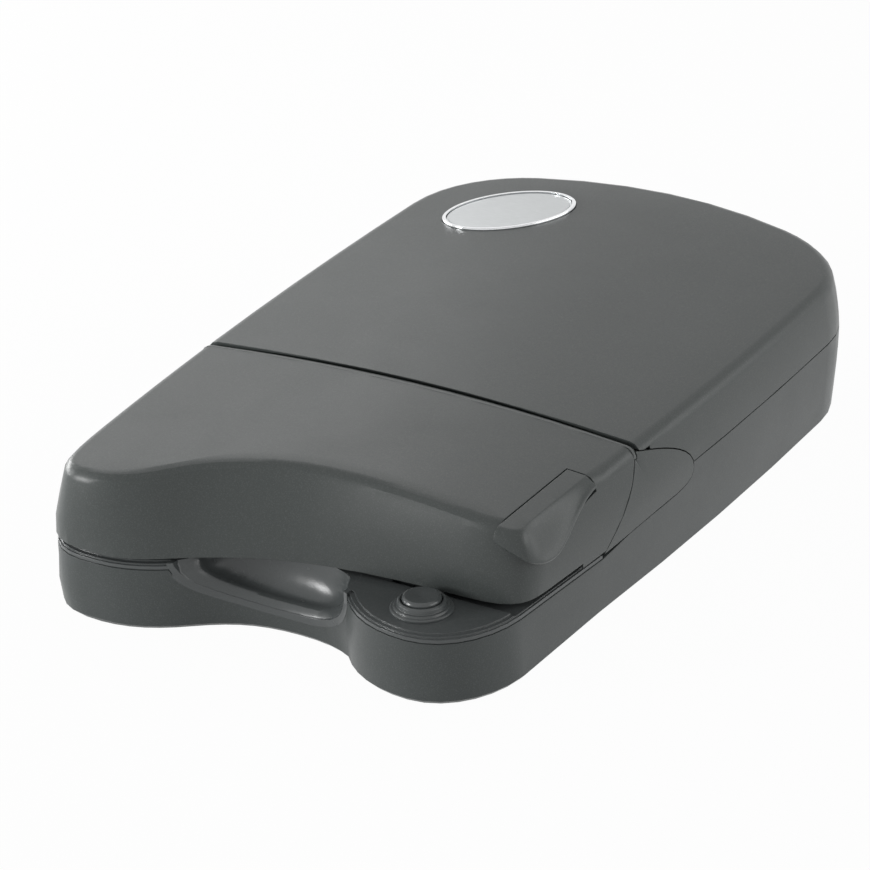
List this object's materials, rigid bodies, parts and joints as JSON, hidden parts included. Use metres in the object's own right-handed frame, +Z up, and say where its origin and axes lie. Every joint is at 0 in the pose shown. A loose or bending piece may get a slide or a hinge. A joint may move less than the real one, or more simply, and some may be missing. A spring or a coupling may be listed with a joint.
{
  "type": "film negative scanner",
  "caption": "Desktop scanner for 35 mm film strips: moulded crowned shells, a hinged front lid with a latch lever, a scan button, and a sled with lens driven by rack and gear.",
  "frame": {"origin": "middle of the body's width and length at the table's level, between the feet", "axes": "+X right, seen from the front; +Y towards the rear with the ports, so the front with the button looks along -Y; +Z up"},
  "size_m": [0.169, 0.277, 0.0545],
  "materials": {
    "shell_plastic": "satin",
    "deck_plastic": "glossy",
    "inner_plastic": "matte",
    "badge_silver": "satin",
    "bright_trim": "polished",
    "steel": "brushed",
    "bracket_metal": "satin",
    "white_plastic": "matte",
    "clear_glass": "clear",
    "mirror_face": "polished",
    "brass": "satin",
    "gear_plastic": "satin",
    "board": "satin",
    "black_plastic": "satin",
    "rubber": "matte"
  },
  "bodies": {
    "housing": {"base_shell": "shell_plastic", "front_deck": "deck_plastic", "upper_cover": "shell_plastic", "hinge_brackets": "bracket_metal", "hinge_pins": "steel", "hinge_cap_left": "shell_plastic", "hinge_cap_right": "shell_plastic", "button_bezel": "deck_plastic", "button_switch": "black_plastic", "badge_plate": "badge_silver", "badge_ring": "bright_trim", "rubber_feet": "rubber", "case_screws": "steel", "gate_glass": "clear_glass", "guide_rods": "steel", "rod_holders": "bracket_metal", "wheel_axle": "steel", "stepper_motor": "steel", "motor_bracket": "bracket_metal", "main_board": "board", "port_panel": "deck_plastic", "usb_socket": "steel", "power_socket": "black_plastic", "switch_frame": "black_plastic"},
    "lid": {"lid_shell": "shell_plastic", "lid_barrel": "shell_plastic", "lid_underside": "inner_plastic", "lamp_tube": "clear_glass", "lamp_reflector": "white_plastic", "lid_diffuser": "white_plastic", "lever_pin": "steel", "lever_spring": "steel"},
    "lever": {"lid_lever": "shell_plastic"},
    "button": {"scan_button": "deck_plastic"},
    "sled": {"optical_sled": "inner_plastic", "sled_bushes": "brass", "sled_mirror": "mirror_face", "lens_barrel": "inner_plastic", "lens_glass": "clear_glass", "sensor_board": "board"},
    "drive_gear": {"drive_wheel": "gear_plastic"},
    "pinion": {"motor_pinion": "brass"},
    "rocker": {"power_rocker": "black_plastic"}
  },
  "joints": [
    {"name": "lid_hinge", "type": "hinge", "parent": "housing", "child": "lid", "pos_m": [0, -0.0393, 0.0462], "axis": [-1, 0, 0], "range_deg": [0, 50]},
    {"name": "lever_hinge", "type": "hinge", "parent": "lid", "child": "lever", "pos_m": [0.0725, -0.0891, 0.04745], "axis": [0, -1, 0], "range_deg": [0, 4.5], "stiffness_Nm_per_rad": 0.05, "springref_deg": -5.73},
    {"name": "button_slide", "type": "slide", "parent": "housing", "child": "button", "axis": [0, 0, -1], "range_m": [0, 0.001], "stiffness_N_per_m": 300, "springref_m": -0.001},
    {"name": "sled_slide", "type": "slide", "parent": "housing", "child": "sled", "axis": [0, 1, 0], "range_m": [0, 0.026]},
    {"name": "drive_gear_spin", "type": "hinge", "parent": "housing", "child": "drive_gear", "pos_m": [-0.018, -0.014, 0.02], "axis": [0, 0, 1], "range_deg": [-250, 0]},
    {"name": "pinion_spin", "type": "hinge", "parent": "housing", "child": "pinion", "pos_m": [0.0028, -0.014, 0.02], "axis": [0, 0, 1], "range_deg": [0, 830]},
    {"name": "rocker_hinge", "type": "hinge", "parent": "housing", "child": "rocker", "pos_m": [-0.028, 0.1253, 0.0157], "axis": [-1, 0, 0], "range_deg": [0, 16]}
  ],
  "couplings": [
    {"joint": "drive_gear_spin", "follows": "sled_slide", "rad_per_m": -166.67},
    {"joint": "pinion_spin", "follows": "sled_slide", "rad_per_m": 555.56}
  ]
}
